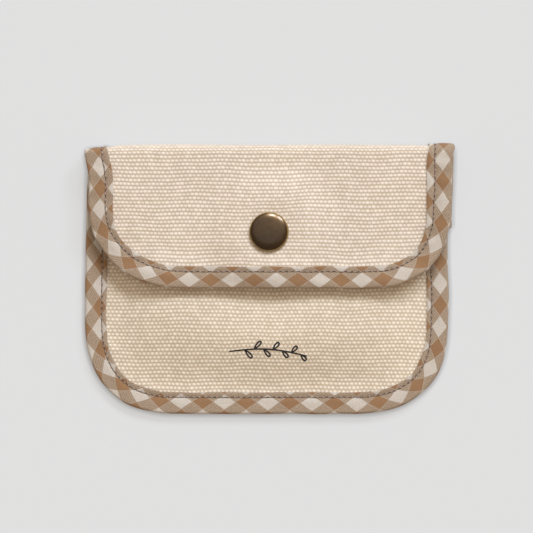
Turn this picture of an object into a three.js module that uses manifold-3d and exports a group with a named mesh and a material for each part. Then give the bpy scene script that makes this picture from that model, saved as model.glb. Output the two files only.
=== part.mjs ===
// A small sewn canvas pouch with a fold-over flap and a ring snap, millimetres, +Z up.
// It lies on its back: +X to the wearer's right, +Y towards the fold, +Z out of the front.
// The back panel carries on over the fold as the flap, so the cloth is modelled as three bodies:
// the pouch, the narrow spine between the two creases, and the flap.
import * as THREE from "three";
import { mergeVertices } from "three/addons/utils/BufferGeometryUtils.js";
import Module from "manifold-3d";

// ---------------------------------------------------------------- driving dimensions
const WIDTH = 117;
const HEIGHT = 87;
const SPINE_HEIGHT = 10.4;
const CREASE_RADIUS = 3;
const CREASE_GAP = 0.5;
const CORNER_RADIUS = 25.5;
const FLAP_CORNER_X = 28.5;
const FLAP_CORNER_Y = 24.7;
const FLAP_EDGE_Y = -3;
const FLAP_SHIFT_X = 0.85;
const MOUTH_Y = 31;
const SNAP_Y = 15.1;
const SNAP_HOLE_RADIUS = 1.8;

// Depths of the cloth layers below the outer face of the shell (back, spine and flap).
const TAPE_THICKNESS = 0.4;
const CANVAS_DEPTH = 0.55;
const CANVAS_THICKNESS = 0.8;
const LINING_DEPTH = 1.4;
const LINING_THICKNESS = 0.25;
const SHELL_THICKNESS = 2.2;

// Heights of the front panel's layers above the table, at the seam.
const FRONT_LINING_Z = 1.7;
const FRONT_CANVAS_Z = 2;
const SEAM_THICKNESS = 3.35;

// How far the front panel stands off the back, and where it rises from the seam.
const POCKET_LIFT = 4.95;
const LIFT_START = 8.5;
const LIFT_RUN = 11;

// The flap rides up over the snap and hangs a little lower at its two sides.
const SNAP_BUMP = 2.1;
const BUMP_FLAT_RADIUS = 10;
const BUMP_RUN = 15;
const BUMP_FADE = 10;
const SIDE_DROOP = 2.4;
const SIDE_DROOP_START = 34;
const FLAP_DROOP_TOP_Y = 36;
const FLAP_DROOP_FULL_Y = 4;

// The binding tape, folded over the raw edges, and the thread that holds it.
const TAPE_WIDTH = 7.1;
const CLOTH_INSET = 1.5;
const STITCH_INSET = 5.9;
const THREAD_RADIUS = 0.2;
const THREAD_GAP = 0.25;
const MOUTH_STITCH_Y = 28;
const MOUTH_STITCH_HALF = 50;
const SPRING_WIRE_RADIUS = 0.3;

// Mesh fineness.
const CORNER_STEPS = 6;
const FOLD_STEPS = 4;
const LEG_STEPS = 2;
const CREASE_STEPS = 4;
const ROUND_STEPS = 20;

// Places worked out from them.
const HALF_WIDTH = WIDTH / 2;
const BOTTOM_Y = -HEIGHT / 2;
const TOP_Y = HEIGHT / 2;
const CREASE_Y = TOP_Y - CREASE_RADIUS;
const SHELL_END_Y = CREASE_Y - CREASE_GAP;
const CLOTH_HALF = HALF_WIDTH - CLOTH_INSET;

const COLOURS = {
  canvas: 0xe6d6bf,
  lining: 0xece3d3,
  tape: 0xb08a68,
  thread: 0x5f5250,
  brass: 0x5d4c36,
};

// ---------------------------------------------------------------- closed meshes
const wasm = await Module();
wasm.setup();

// Turns every triangle round if the closed mesh faces inwards.
function facingOut(geometry) {
  const index = geometry.getIndex().array;
  const position = geometry.getAttribute("position");
  const [a, b, c] = [new THREE.Vector3(), new THREE.Vector3(), new THREE.Vector3()];
  let volume = 0;
  for (let i = 0; i < index.length; i += 3) {
    a.fromBufferAttribute(position, index[i]);
    b.fromBufferAttribute(position, index[i + 1]);
    c.fromBufferAttribute(position, index[i + 2]);
    volume += a.dot(b.cross(c));
  }
  if (volume < 0) {
    for (let i = 0; i < index.length; i += 3) {
      [index[i + 1], index[i + 2]] = [index[i + 2], index[i + 1]];
    }
  }
  geometry.computeVertexNormals();
  return geometry;
}

// A closed slab of along × across cells. place(along, across, face) says where each grid point goes,
// with face 0 on one side of the slab and 1 on the other.
function slab(alongSteps, acrossSteps, place) {
  const geometry = new THREE.BoxGeometry(alongSteps, acrossSteps, 1, alongSteps, acrossSteps, 1);
  const position = geometry.getAttribute("position");
  for (let i = 0; i < position.count; i += 1) {
    const along = Math.round(position.getX(i) + alongSteps / 2);
    const across = Math.round(position.getY(i) + acrossSteps / 2);
    const face = position.getZ(i) > 0 ? 1 : 0;
    position.setXYZ(i, ...place(along, across, face));
  }
  // The cells of both faces are split along the same diagonal, so that stacked slabs stay parallel.
  const index = geometry.getIndex().array;
  const { start, count } = geometry.groups[5];
  for (let i = start; i < start + count; i += 6) {
    const [a, b, d, , c] = index.slice(i, i + 6);
    index.set([a, b, c, a, c, d], i);
  }
  return facingOut(geometry);
}

function solidOf(geometry) {
  const bare = geometry.clone();
  bare.deleteAttribute("normal");
  bare.deleteAttribute("uv");
  const merged = mergeVertices(bare, 1e-4);
  return new wasm.Manifold(
    new wasm.Mesh({
      numProp: 3,
      vertProperties: merged.getAttribute("position").array,
      triVerts: new Uint32Array(merged.getIndex().array),
    }),
  );
}

function geometryOf(solid) {
  const mesh = solid.getMesh();
  const geometry = new THREE.BufferGeometry();
  geometry.setAttribute("position", new THREE.BufferAttribute(mesh.vertProperties, 3));
  geometry.setIndex(new THREE.BufferAttribute(mesh.triVerts, 1));
  geometry.computeVertexNormals();
  return geometry;
}

// Punches the round hole that a snap post passes through, at x.
function withSnapHole(geometry, x) {
  const punch = new THREE.CylinderGeometry(SNAP_HOLE_RADIUS, SNAP_HOLE_RADIUS, 40, ROUND_STEPS);
  punch.rotateX(Math.PI / 2);
  punch.translate(x, SNAP_Y, 0);
  return geometryOf(solidOf(geometry).subtract(solidOf(punch)));
}

// A round tube along a smooth curve through the points.
function tube(points, radius, steps, sides = 5) {
  const section = new THREE.Shape(new THREE.EllipseCurve(0, 0, radius, radius).getPoints(sides).slice(1));
  return new THREE.ExtrudeGeometry(section, {
    steps,
    extrudePath: new THREE.CatmullRomCurve3(points),
  });
}

// A turned part: the profile is [radius, height] pairs.
function turned(profile) {
  const points = profile.map(([radius, height]) => new THREE.Vector2(radius, height));
  return facingOut(new THREE.LatheGeometry(points, ROUND_STEPS).rotateX(Math.PI / 2));
}

function mesh(name, geometry, colour, roughness = 0.9, metalness = 0) {
  const material = new THREE.MeshStandardMaterial({ color: colour, roughness, metalness });
  const made = new THREE.Mesh(geometry, material);
  made.name = name;
  return made;
}

// ---------------------------------------------------------------- outlines and heights
function evenSteps(from, to, steps) {
  return Array.from({ length: steps + 1 }, (_, i) => from + ((to - from) * i) / steps);
}

// Half the width of a panel at height y, where its lower corners are quarter ellipses.
function halfWidthAt(y, half, bottom, cornerX, cornerY) {
  const below = Math.max(0, bottom + cornerY - y) / cornerY;
  return half - cornerX + cornerX * Math.sqrt(Math.max(0, 1 - below * below));
}

// The outline of a panel from its top left, round the bottom, to its top right, with outward normals.
// sideStops are the heights of its points down each straight side.
function outline(bottom, cornerX, cornerY, sideStops, bottomSteps) {
  const left = sideStops.map((y) => ({ x: -HALF_WIDTH, y, nx: -1, ny: 0 }));
  for (let i = 1; i <= CORNER_STEPS; i += 1) {
    const angle = (i / CORNER_STEPS) * (Math.PI / 2);
    const normal = new THREE.Vector2(-Math.cos(angle) / cornerX, -Math.sin(angle) / cornerY).normalize();
    left.push({
      x: -HALF_WIDTH + cornerX - cornerX * Math.cos(angle),
      y: bottom + cornerY - cornerY * Math.sin(angle),
      nx: normal.x,
      ny: normal.y,
    });
  }
  const end = -HALF_WIDTH + cornerX;
  const middle = evenSteps(end, -end, bottomSteps).slice(1, -1);
  const right = left.map(({ x, y, nx, ny }) => ({ x: -x, y, nx: -nx, ny })).reverse();
  return [...left, ...middle.map((x) => ({ x, y: bottom, nx: 0, ny: -1 })), ...right];
}

// Distance inwards from the pouch's sewn sides and bottom.
function distanceFromSeam(x, y) {
  const inX = Math.abs(x) - (HALF_WIDTH - CORNER_RADIUS);
  const inY = BOTTOM_Y + CORNER_RADIUS - y;
  if (inX > 0 && inY > 0) {
    return CORNER_RADIUS - Math.hypot(inX, inY);
  }
  return Math.min(HALF_WIDTH - Math.abs(x), y - BOTTOM_Y);
}

// How far the front panel has risen off the seam.
function pocketLift(x, y) {
  const distance = distanceFromSeam(x, y);
  return POCKET_LIFT * THREE.MathUtils.smoothstep(distance, LIFT_START, LIFT_START + LIFT_RUN);
}

// Height of the flap's outer face. The flap is drawn about its own middle, which the snap is on.
function flapSurface(x, y) {
  const radius = Math.hypot(x, y - SNAP_Y);
  const bump =
    (1 - THREE.MathUtils.smoothstep(radius, BUMP_FLAT_RADIUS, BUMP_FLAT_RADIUS + BUMP_RUN)) *
    THREE.MathUtils.smoothstep(SHELL_END_Y - y, 0, BUMP_FADE);
  const droop =
    THREE.MathUtils.smoothstep(Math.abs(x), SIDE_DROOP_START, HALF_WIDTH) *
    THREE.MathUtils.smoothstep(FLAP_DROOP_TOP_Y - y, 0, FLAP_DROOP_TOP_Y - FLAP_DROOP_FULL_Y);
  return SPINE_HEIGHT + SNAP_BUMP * bump - SIDE_DROOP * droop;
}

// ---------------------------------------------------------------- cloth panels
// A thin panel on a grid of columns and rows. Its lower face is at surface(x, y), and it is thickness high.
function panel(columns, rows, corner, surface, thickness) {
  return slab(columns.length - 1, rows.length - 1, (along, across, face) => {
    const y = rows[across];
    const half = halfWidthAt(y, CLOTH_HALF, corner.bottom, corner.x, corner.y);
    const x = (columns[along] / CLOTH_HALF) * half;
    return [x, y, surface(x, y) + face * thickness];
  });
}

// Insets of the grid lines from a sewn edge: the flat seam, the rise, then the level middle.
function riseInsets() {
  const rise = evenSteps(LIFT_START - CLOTH_INSET, LIFT_START + LIFT_RUN - CLOTH_INSET, 4);
  return [0, ...rise];
}

function ascending(numbers) {
  return [...new Set(numbers.map((n) => Math.round(n * 1000) / 1000))].sort((a, b) => a - b);
}

function frontPanel(layerZ, thickness) {
  const corner = {
    bottom: BOTTOM_Y + CLOTH_INSET,
    x: CORNER_RADIUS - CLOTH_INSET,
    y: CORNER_RADIUS - CLOTH_INSET,
  };
  const sides = riseInsets().map((inset) => CLOTH_HALF - inset);
  const columns = ascending([...sides, ...sides.map((x) => -x), ...evenSteps(-24, 24, 4)]);
  const arcs = evenSteps(0, Math.PI / 2, CORNER_STEPS).map((a) => corner.y * (1 - Math.cos(a)));
  const rows = ascending([
    ...[...riseInsets(), ...arcs].map((inset) => corner.bottom + inset),
    ...evenSteps(corner.bottom + corner.y, MOUTH_Y, 3),
  ]);
  const surface = (x, y) => layerZ + pocketLift(x, y);
  return withSnapHole(panel(columns, rows, corner, surface, thickness), FLAP_SHIFT_X);
}

function flapPanel(depth, thickness) {
  const corner = {
    bottom: FLAP_EDGE_Y + CLOTH_INSET,
    x: FLAP_CORNER_X - CLOTH_INSET,
    y: FLAP_CORNER_Y - CLOTH_INSET,
  };
  const columns = evenSteps(-CLOTH_HALF, CLOTH_HALF, 20);
  const arcs = evenSteps(0, Math.PI / 2, CORNER_STEPS).map((a) => corner.y * (1 - Math.cos(a)));
  const rows = ascending([
    ...arcs.map((inset) => corner.bottom + inset),
    ...evenSteps(corner.bottom + corner.y, SHELL_END_Y, 4),
  ]);
  const surface = (x, y) => flapSurface(x, y) - depth - thickness;
  return withSnapHole(panel(columns, rows, corner, surface, thickness), 0);
}

function backPanel(depth, thickness) {
  const radius = CORNER_RADIUS - CLOTH_INSET;
  const bottom = BOTTOM_Y + CLOTH_INSET;
  const shape = new THREE.Shape();
  shape.moveTo(CLOTH_HALF, SHELL_END_Y);
  shape.lineTo(-CLOTH_HALF, SHELL_END_Y);
  shape.absarc(-CLOTH_HALF + radius, bottom + radius, radius, Math.PI, 1.5 * Math.PI);
  shape.absarc(CLOTH_HALF - radius, bottom + radius, radius, 1.5 * Math.PI, 2 * Math.PI);
  const geometry = new THREE.ExtrudeGeometry(shape, {
    depth: thickness,
    bevelEnabled: false,
    curveSegments: CORNER_STEPS,
  });
  return geometry.translate(0, 0, depth);
}

// The stretch of cloth between the creases: a C in the YZ plane, drawn out along X.
function spinePanel(depth, thickness) {
  const outer = CREASE_RADIUS - depth;
  const inner = outer - thickness;
  const upperZ = SPINE_HEIGHT - CREASE_RADIUS;
  const shape = new THREE.Shape();
  shape.absarc(CREASE_Y, CREASE_RADIUS, outer, -Math.PI / 2, 0);
  shape.absarc(CREASE_Y, upperZ, outer, 0, Math.PI / 2);
  shape.absarc(CREASE_Y, upperZ, inner, Math.PI / 2, 0, true);
  shape.absarc(CREASE_Y, CREASE_RADIUS, inner, 0, -Math.PI / 2, true);
  const geometry = new THREE.ExtrudeGeometry(shape, {
    depth: 2 * CLOTH_HALF,
    bevelEnabled: false,
    curveSegments: CREASE_STEPS,
  });
  const yToZ = new THREE.Matrix4().makeBasis(
    new THREE.Vector3(0, 1, 0),
    new THREE.Vector3(0, 0, 1),
    new THREE.Vector3(1, 0, 0),
  );
  return geometry.applyMatrix4(yToZ).translate(-CLOTH_HALF, 0, 0);
}

// ---------------------------------------------------------------- binding tape
// A point of the folded tape's section: [distance in from the edge, depth below the outer face].
// It runs along the outer leg, round the fold and back along the inner leg.
function tapeSection(step, face, total) {
  const radius = total / 2;
  const reach = radius - face * TAPE_THICKNESS;
  const last = 2 * LEG_STEPS + FOLD_STEPS;
  const outerLeg = step < LEG_STEPS;
  const innerLeg = step > last - LEG_STEPS;
  if (outerLeg || innerLeg) {
    const along = (outerLeg ? step : last - step) / LEG_STEPS;
    const depth = outerLeg ? radius - reach : radius + reach;
    return [THREE.MathUtils.lerp(TAPE_WIDTH, radius, along), depth];
  }
  const angle = (((step - LEG_STEPS) / FOLD_STEPS) * 2 - 1) * (Math.PI / 2);
  return [radius - reach * Math.cos(angle), radius + reach * Math.sin(angle)];
}

const TAPE_STEPS = 2 * LEG_STEPS + FOLD_STEPS;

// The pouch's binding holds five layers up to the mouth, and only the shell above it.
function bodyThickness(y) {
  return y > MOUTH_Y + 1 ? SHELL_THICKNESS : SEAM_THICKNESS;
}

function bodyPath() {
  const cornerTop = BOTTOM_Y + CORNER_RADIUS;
  const stops = [SHELL_END_Y, MOUTH_Y + 4, MOUTH_Y + 0.5, cornerTop];
  return outline(BOTTOM_Y, CORNER_RADIUS, CORNER_RADIUS, stops, 1);
}

function bodyBinding() {
  const path = bodyPath();
  return slab(path.length - 1, TAPE_STEPS, (along, across, face) => {
    const { x, y, nx, ny } = path[along];
    const [inset, depth] = tapeSection(across, face, bodyThickness(y));
    return [x - nx * inset, y - ny * inset, depth];
  });
}

function flapPath() {
  const stops = evenSteps(SHELL_END_Y, FLAP_EDGE_Y + FLAP_CORNER_Y, 4);
  return outline(FLAP_EDGE_Y, FLAP_CORNER_X, FLAP_CORNER_Y, stops, 12);
}

function flapBinding() {
  const path = flapPath();
  return slab(path.length - 1, TAPE_STEPS, (along, across, face) => {
    const { x, y, nx, ny } = path[along];
    const [inset, depth] = tapeSection(across, face, SHELL_THICKNESS);
    const at = [x - nx * inset, y - ny * inset];
    return [...at, flapSurface(...at) - depth];
  });
}

// side is -1 for the left end of the spine and 1 for the right.
function spineBinding(side) {
  const quarter = evenSteps(-Math.PI / 2, 0, CREASE_STEPS);
  const path = [
    ...quarter.map((angle) => ({ angle, z: CREASE_RADIUS })),
    ...quarter.map((angle) => ({ angle: angle + Math.PI / 2, z: SPINE_HEIGHT - CREASE_RADIUS })),
  ];
  return slab(path.length - 1, TAPE_STEPS, (along, across, face) => {
    const { angle, z } = path[along];
    const [inset, depth] = tapeSection(across, face, SHELL_THICKNESS);
    const radius = CREASE_RADIUS - depth;
    return [
      side * (HALF_WIDTH - inset),
      CREASE_Y + radius * Math.cos(angle),
      z + radius * Math.sin(angle),
    ];
  });
}

// ---------------------------------------------------------------- thread
// A seam's thread runs along the outline, a stitch's width inside the tape's inner edge.
function seamThread(path, surface, steps) {
  const rise = THREAD_RADIUS + THREAD_GAP;
  const points = path.map(({ x, y, nx, ny }) => {
    const at = [x - nx * STITCH_INSET, y - ny * STITCH_INSET];
    return new THREE.Vector3(...at, surface(...at, y) + rise);
  });
  return tube(points, THREAD_RADIUS, steps);
}

function mouthThread() {
  const top = FRONT_CANVAS_Z + CANVAS_THICKNESS + THREAD_RADIUS + THREAD_GAP;
  const points = evenSteps(-MOUTH_STITCH_HALF, MOUTH_STITCH_HALF, 24).map(
    (x) => new THREE.Vector3(x, MOUTH_STITCH_Y, top + pocketLift(x, MOUTH_STITCH_Y)),
  );
  return tube(points, THREAD_RADIUS, 24);
}

// ---------------------------------------------------------------- ring snap
// Heights in the profiles are measured from the cloth face that the piece is pressed against.
const FLAP_FACE_Z = SPINE_HEIGHT + SNAP_BUMP - CANVAS_DEPTH;
const FLAP_BACK_Z = SPINE_HEIGHT + SNAP_BUMP - LINING_DEPTH - LINING_THICKNESS;
const FRONT_FACE_Z = FRONT_CANVAS_Z + CANVAS_THICKNESS + POCKET_LIFT;
const FRONT_BACK_Z = FRONT_LINING_Z + POCKET_LIFT;

// A shallow domed shell, its rim rolled under to grip the post's flange.
function snapCap() {
  const profile = [
    [0, 2.15],
    [4.6, 2],
    [5.75, 1.8],
    [6.2, 1.35],
    [6.35, 0.9],
    [6.2, 0.35],
    [5.8, 0.1],
    [5, 0.1],
    [5, 0.35],
    [5.6, 0.5],
    [5.7, 0.9],
    [5.5, 1.25],
    [4.5, 1.4],
    [0, 1.55],
  ];
  return turned(profile).translate(0, 0, FLAP_FACE_Z);
}

// The flange inside the cap, and the hollow post that goes through the cloth and is flared under the socket.
function snapCapPost() {
  const profile = [
    [0, 1.05],
    [5.25, 1.05],
    [5.25, 0.65],
    [1.5, 0.65],
    [1.5, -1.65],
    [2.3, -1.75],
    [2.3, -1.9],
    [1, -1.9],
    [1, 0.3],
    [0, 0.3],
  ];
  return turned(profile).translate(0, 0, FLAP_FACE_Z);
}

// The female half: a flange under the flap and a rolled cup that holds the spring.
function snapSocket() {
  const profile = [
    [1.75, -0.1],
    [6, -0.1],
    [6, -0.4],
    [5.3, -0.55],
    [5.3, -1.95],
    [5, -2.4],
    [4.4, -2.55],
    [3.3, -2.55],
    [3.3, -2.3],
    [4.4, -2.25],
    [4.4, -0.5],
    [1.75, -0.5],
    [1.75, -0.1],
  ];
  return turned(profile).translate(0, 0, FLAP_BACK_Z);
}

// The wire clip in the cup: two straight limbs joined by a flattened bend.
function snapSpring() {
  const limb = 2.6;
  const bend = evenSteps(0, Math.PI, 6).map((a) => [limb * Math.cos(a), 2.2 + 1.6 * Math.sin(a)]);
  const route = [[limb, -2.8], [limb, 0], ...bend, [-limb, 0], [-limb, -2.8]];
  const points = route.map(([x, y]) => new THREE.Vector3(x, y, FLAP_BACK_Z - 1.9));
  return tube(points, SPRING_WIRE_RADIUS, 26);
}

// The male half: a flange on the front panel, a neck and a bulged head.
function snapStud() {
  const profile = [
    [0, 2.15],
    [2.2, 2.15],
    [2.7, 2],
    [2.75, 1.7],
    [2.05, 1.4],
    [2.05, 0.5],
    [2.6, 0.4],
    [5.2, 0.4],
    [5.2, 0.1],
    [1.7, 0.1],
    [1.7, 1.25],
    [0, 1.25],
  ];
  return turned(profile).translate(0, 0, FRONT_FACE_Z);
}

// The flange inside the pocket and the post that is flared inside the stud.
function snapStudPost() {
  const profile = [
    [0, -0.5],
    [4.6, -0.5],
    [4.75, -0.35],
    [4.75, -0.1],
    [1.5, -0.1],
    [1.5, 2.05],
    [0.95, 2.05],
    [0.95, 0.15],
    [0, 0.15],
  ];
  return turned(profile).translate(0, 0, FRONT_BACK_Z);
}

// ---------------------------------------------------------------- assembly
function brass(name, geometry) {
  return mesh(name, geometry, COLOURS.brass, 0.35, 1);
}

const pouch = new THREE.Group();
pouch.add(
  mesh("back_panel", backPanel(CANVAS_DEPTH, CANVAS_THICKNESS), COLOURS.canvas),
  mesh("back_lining", backPanel(LINING_DEPTH, LINING_THICKNESS), COLOURS.lining),
  mesh("front_lining", frontPanel(FRONT_LINING_Z, LINING_THICKNESS), COLOURS.lining),
  mesh("front_panel", frontPanel(FRONT_CANVAS_Z, CANVAS_THICKNESS), COLOURS.canvas),
  mesh("body_binding", bodyBinding(), COLOURS.tape),
  mesh("body_thread", seamThread(bodyPath(), (x, y, edgeY) => bodyThickness(edgeY), 48), COLOURS.thread),
  mesh("mouth_thread", mouthThread(), COLOURS.thread),
);

const spine = new THREE.Group();
spine.add(
  mesh("spine_panel", spinePanel(CANVAS_DEPTH, CANVAS_THICKNESS), COLOURS.canvas),
  mesh("spine_lining", spinePanel(LINING_DEPTH, LINING_THICKNESS), COLOURS.lining),
  mesh("spine_binding_left", spineBinding(-1), COLOURS.tape),
  mesh("spine_binding_right", spineBinding(1), COLOURS.tape),
);

// The flap is sewn a little to the right of the pouch, and the snap with it.
const flap = new THREE.Group();
flap.position.set(FLAP_SHIFT_X, 0, 0);
flap.add(
  mesh("flap_panel", flapPanel(CANVAS_DEPTH, CANVAS_THICKNESS), COLOURS.canvas),
  mesh("flap_lining", flapPanel(LINING_DEPTH, LINING_THICKNESS), COLOURS.lining),
  mesh("flap_binding", flapBinding(), COLOURS.tape),
  mesh("flap_thread", seamThread(flapPath(), flapSurface, 48), COLOURS.thread),
);

const snap = new THREE.Group();
snap.position.set(FLAP_SHIFT_X, SNAP_Y, 0);
snap.add(
  brass("snap_cap", snapCap()),
  brass("snap_cap_post", snapCapPost()),
  brass("snap_socket", snapSocket()),
  brass("snap_spring", snapSpring()),
  brass("snap_stud", snapStud()),
  brass("snap_stud_post", snapStudPost()),
);

const model = new THREE.Group();
model.add(pouch, spine, flap, snap);

export default model;
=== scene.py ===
"""A small canvas flap pouch with gingham bias binding and a brass ring snap, lying on its back.

Lengths in this script are millimetres until a mesh is made. The shell is one strip of cloth that runs
up the back, over the spine and down the flap: a point of it is (x, s), with s measured along the strip
from the bottom edge, and a depth below its outer face.
"""

import math

import bpy
import numpy as np
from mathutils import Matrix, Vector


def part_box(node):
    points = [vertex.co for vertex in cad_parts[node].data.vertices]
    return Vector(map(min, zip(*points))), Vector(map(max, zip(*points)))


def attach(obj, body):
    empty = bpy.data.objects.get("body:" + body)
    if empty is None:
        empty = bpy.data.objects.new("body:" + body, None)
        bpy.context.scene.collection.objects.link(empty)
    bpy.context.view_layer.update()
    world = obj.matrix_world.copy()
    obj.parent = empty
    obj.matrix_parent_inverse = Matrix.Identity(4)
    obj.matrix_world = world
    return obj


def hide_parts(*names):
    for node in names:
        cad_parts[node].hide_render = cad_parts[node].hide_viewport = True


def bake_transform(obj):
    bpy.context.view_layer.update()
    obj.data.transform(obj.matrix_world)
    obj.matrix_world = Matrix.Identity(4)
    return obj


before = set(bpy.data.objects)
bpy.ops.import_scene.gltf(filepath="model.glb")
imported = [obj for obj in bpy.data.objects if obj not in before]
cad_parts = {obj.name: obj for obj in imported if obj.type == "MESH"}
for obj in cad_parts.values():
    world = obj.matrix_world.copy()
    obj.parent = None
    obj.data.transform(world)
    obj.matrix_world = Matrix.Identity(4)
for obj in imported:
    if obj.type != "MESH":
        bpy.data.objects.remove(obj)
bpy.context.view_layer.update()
MM = 0.001


def box_mm(node):
    """The lowest and highest corners of a CAD node, in millimetres."""
    low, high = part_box(node)
    return np.array(low) / MM, np.array(high) / MM


# ---------------- sizes taken from the frame
BODY_LOW, BODY_HIGH = box_mm("body_binding")
FLAP_LOW, FLAP_HIGH = box_mm("flap_binding")
SPINE_HIGH = box_mm("spine_binding_left")[1]
SPINE_CLOTH_LOW = box_mm("spine_panel")[0]
FRONT_LOW, FRONT_HIGH = box_mm("front_panel")
CAP_LOW, CAP_HIGH = box_mm("snap_cap")
SPRING_LOW, SPRING_HIGH = box_mm("snap_spring")

HALF = BODY_HIGH[0]
BOTTOM = BODY_LOW[1]
TOP = SPINE_HIGH[1]
SPINE_HEIGHT = SPINE_HIGH[2]
CREASE_Y = SPINE_CLOTH_LOW[1]
CREASE_RADIUS = TOP - CREASE_Y
FLAP_EDGE = FLAP_LOW[1]
MOUTH = FRONT_HIGH[1]
SEAM_THICKNESS = BODY_HIGH[2]
SNAP_X, SNAP_Y = ((CAP_LOW + CAP_HIGH) / 2)[:2]
CAP_RADIUS = (CAP_HIGH[0] - CAP_LOW[0]) / 2
FLAP_SHIFT = (FLAP_LOW[0] + FLAP_HIGH[0]) / 2

# ---------------- sizes of the sewing
TAPE_WIDTH = 7.05
TAPE = 0.4
CANVAS_DEPTH = 0.55
CANVAS = 0.8
LINING_DEPTH = 1.4
LINING = 0.25
SHELL_THICKNESS = 2.2
CLOTH_INSET = 1.5
STITCH_INSET = 5.45
STITCH_PITCH = 1.9
STITCH_SHOWN = 1.78
THREAD_RADIUS = 0.21
HEM = 7.5
MOUTH_STITCH_INSET = 5.5

# How far each rounded corner reaches along the bottom and up the side, at the left and the right,
# and how square the corners are: 2 would make them ellipses.
BODY_REACH = ((31.0, 29.7), (31.0, 29.7))
FLAP_REACH = ((34.0, 27.5), (27.0, 26.0))
BODY_SQUARENESS, FLAP_SQUARENESS = 2.45, 2.25

FRONT_CANVAS_Z = FRONT_LOW[2]
POCKET_LIFT = FRONT_HIGH[2] - FRONT_LOW[2] - CANVAS
LIFT_START, LIFT_RUN = 7.2, 17.0
SNAP_BUMP, BUMP_FLAT, BUMP_RUN = 2.1, 10.0, 15.0
SIDE_DROOP, DROOP_START = 1.2, 34.0
EDGE_LIFT = 1.3
# The flap is pressed down in a ring round the cap.
DIMPLE, DIMPLE_RUN = 0.18, 1.6
# The top fold: its middle bulges, its left end sags, and the cloth beside it follows.
FOLD_BULGE, FOLD_SAG, FOLD_RUN = 0.3, 2.0, 5.0
# How far the left edge is drawn in below the fold, on the back and on the flap.
DRAWN_BACK, DRAWN_FLAP = 0.7, 0.8
# How far the stiff cloth waves, and how deep its gathers are beside a seam.
FRONT_WAVE, FLAP_WAVE, FOLD_WAVE, SIDE_WAVE, GATHER = 0.16, 0.14, 0.13, 0.2, 0.1

# How fine the grids of the panels and the tapes are.
CLOTH_STEP, TAPE_STEP = 0.8, 0.48

# Lengths along the strip of cloth.
S_CREASE = CREASE_Y - BOTTOM
ARC = math.pi / 2 * CREASE_RADIUS
WALL = SPINE_HEIGHT - 2 * CREASE_RADIUS
S_MIDDLE = S_CREASE + ARC + WALL / 2
S_FLAP = S_CREASE + 2 * ARC + WALL
S_END = S_FLAP + CREASE_Y - FLAP_EDGE

# The end of the back's binding is lapped on the right, from here up.
LAP_Y, LAP_OUT, LAP_OUT_TOP = 16.0, 1.3, 1.9
LAP_KEPT = 0.6

# The snap's cap sits a little askew, so its face is nearer the upper left of its rim.
CAP_LEAN = (-0.1, 0.14)

# Weave and check.
DOT_PITCH, ROW_PITCH = 1.34, 1.23
DOT_HEIGHT = 1.04
CHECK_REPEAT = 9.81
CHECK_STRETCH = 1.41
BODY_CHECK_START, BODY_CHECK_PITCH = 0.8, 13.93
FLAP_CHECK_START, FLAP_CHECK_PITCH = 1.3, 13.57


# ---------------- small maths
def smoothstep(value, low, high):
    t = np.clip((value - low) / (high - low), 0.0, 1.0)
    return t * t * (3 - 2 * t)


def even(start, stop, step):
    """Evenly spaced numbers from start to stop, about step apart."""
    return np.linspace(start, stop, max(2, int(round(abs(stop - start) / step)) + 1))


def unit(vectors):
    return vectors / np.linalg.norm(vectors, axis=-1, keepdims=True)


def waves(x, y, seed, length):
    """A smooth uneven field of about ±1, made of plane waves about that long."""
    draw = np.random.default_rng(seed)
    count = 7
    total = np.zeros(np.broadcast(x, y).shape)
    for _ in range(count):
        angle = draw.uniform(0, math.pi)
        k = 2 * math.pi / (length * draw.uniform(0.7, 1.6))
        start = draw.uniform(0, 2 * math.pi)
        total = total + np.sin(k * (x * math.cos(angle) + y * math.sin(angle)) + start)
    return total / math.sqrt(count)


# ---------------- outlines and heights
class End:
    """One end of the strip. Places on it are x and the distance in from its edge."""

    def __init__(self, reaches, power):
        self.reaches = reaches
        self.power = power

    def lost(self, along, reach, depth):
        """How much of one direction a corner takes away, at a distance along the other."""
        below = np.clip((reach - along) / reach, 0, 1)
        return depth * (1 - (1 - below**self.power) ** (1 / self.power))

    def sides(self, distance, inset=0.0):
        """The left and right x of the outline, drawn in by an inset."""
        left, right = (
            HALF - inset - self.lost(distance - inset, up - inset, across - inset)
            for across, up in self.reaches
        )
        return -left, right

    def edge_distance(self, x, distance):
        """About how far a place is from the outline."""
        left, right = self.sides(distance)
        in_x = np.maximum(np.minimum(x - left, right - x), 0.01)
        side = np.where(x < 0, 0, 1)
        across, up = (np.take([reach[i] for reach in self.reaches], side) for i in (0, 1))
        in_y = np.maximum(distance - self.lost(HALF - np.abs(x), across, up), 0.01)
        return in_x * in_y / np.hypot(in_x, in_y)

    def outline(self, length):
        """The outline from the top left round to the top right, as x and distance."""
        angle = np.linspace(0, math.pi / 2, 90)
        arms = []
        for side, (across, up) in zip((-1, 1), self.reaches):
            x = HALF - across + across * np.cos(angle) ** (2 / self.power)
            distance = up - up * np.sin(angle) ** (2 / self.power)
            straight = np.linspace(length, up, 60)[:-1]
            x = np.append(np.full(len(straight), HALF), x) * side
            arms.append(np.stack([x, np.append(straight, distance)], -1))
        left, right = arms
        bottom = np.linspace(left[-1, 0], right[-1, 0], 60)[1:-1]
        return np.concatenate([left, np.stack([bottom, 0 * bottom], -1), right[::-1]])


BODY = End(BODY_REACH, BODY_SQUARENESS)
FLAP = End(FLAP_REACH, FLAP_SQUARENESS)


def pucker(x, y, distance, seed):
    """The small gathers that the binding's seam leaves in the cloth beside it."""
    return GATHER * waves(x, y, seed, 5.5) * np.exp(-np.maximum(distance - TAPE_WIDTH, 0) / 3.0)


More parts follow.
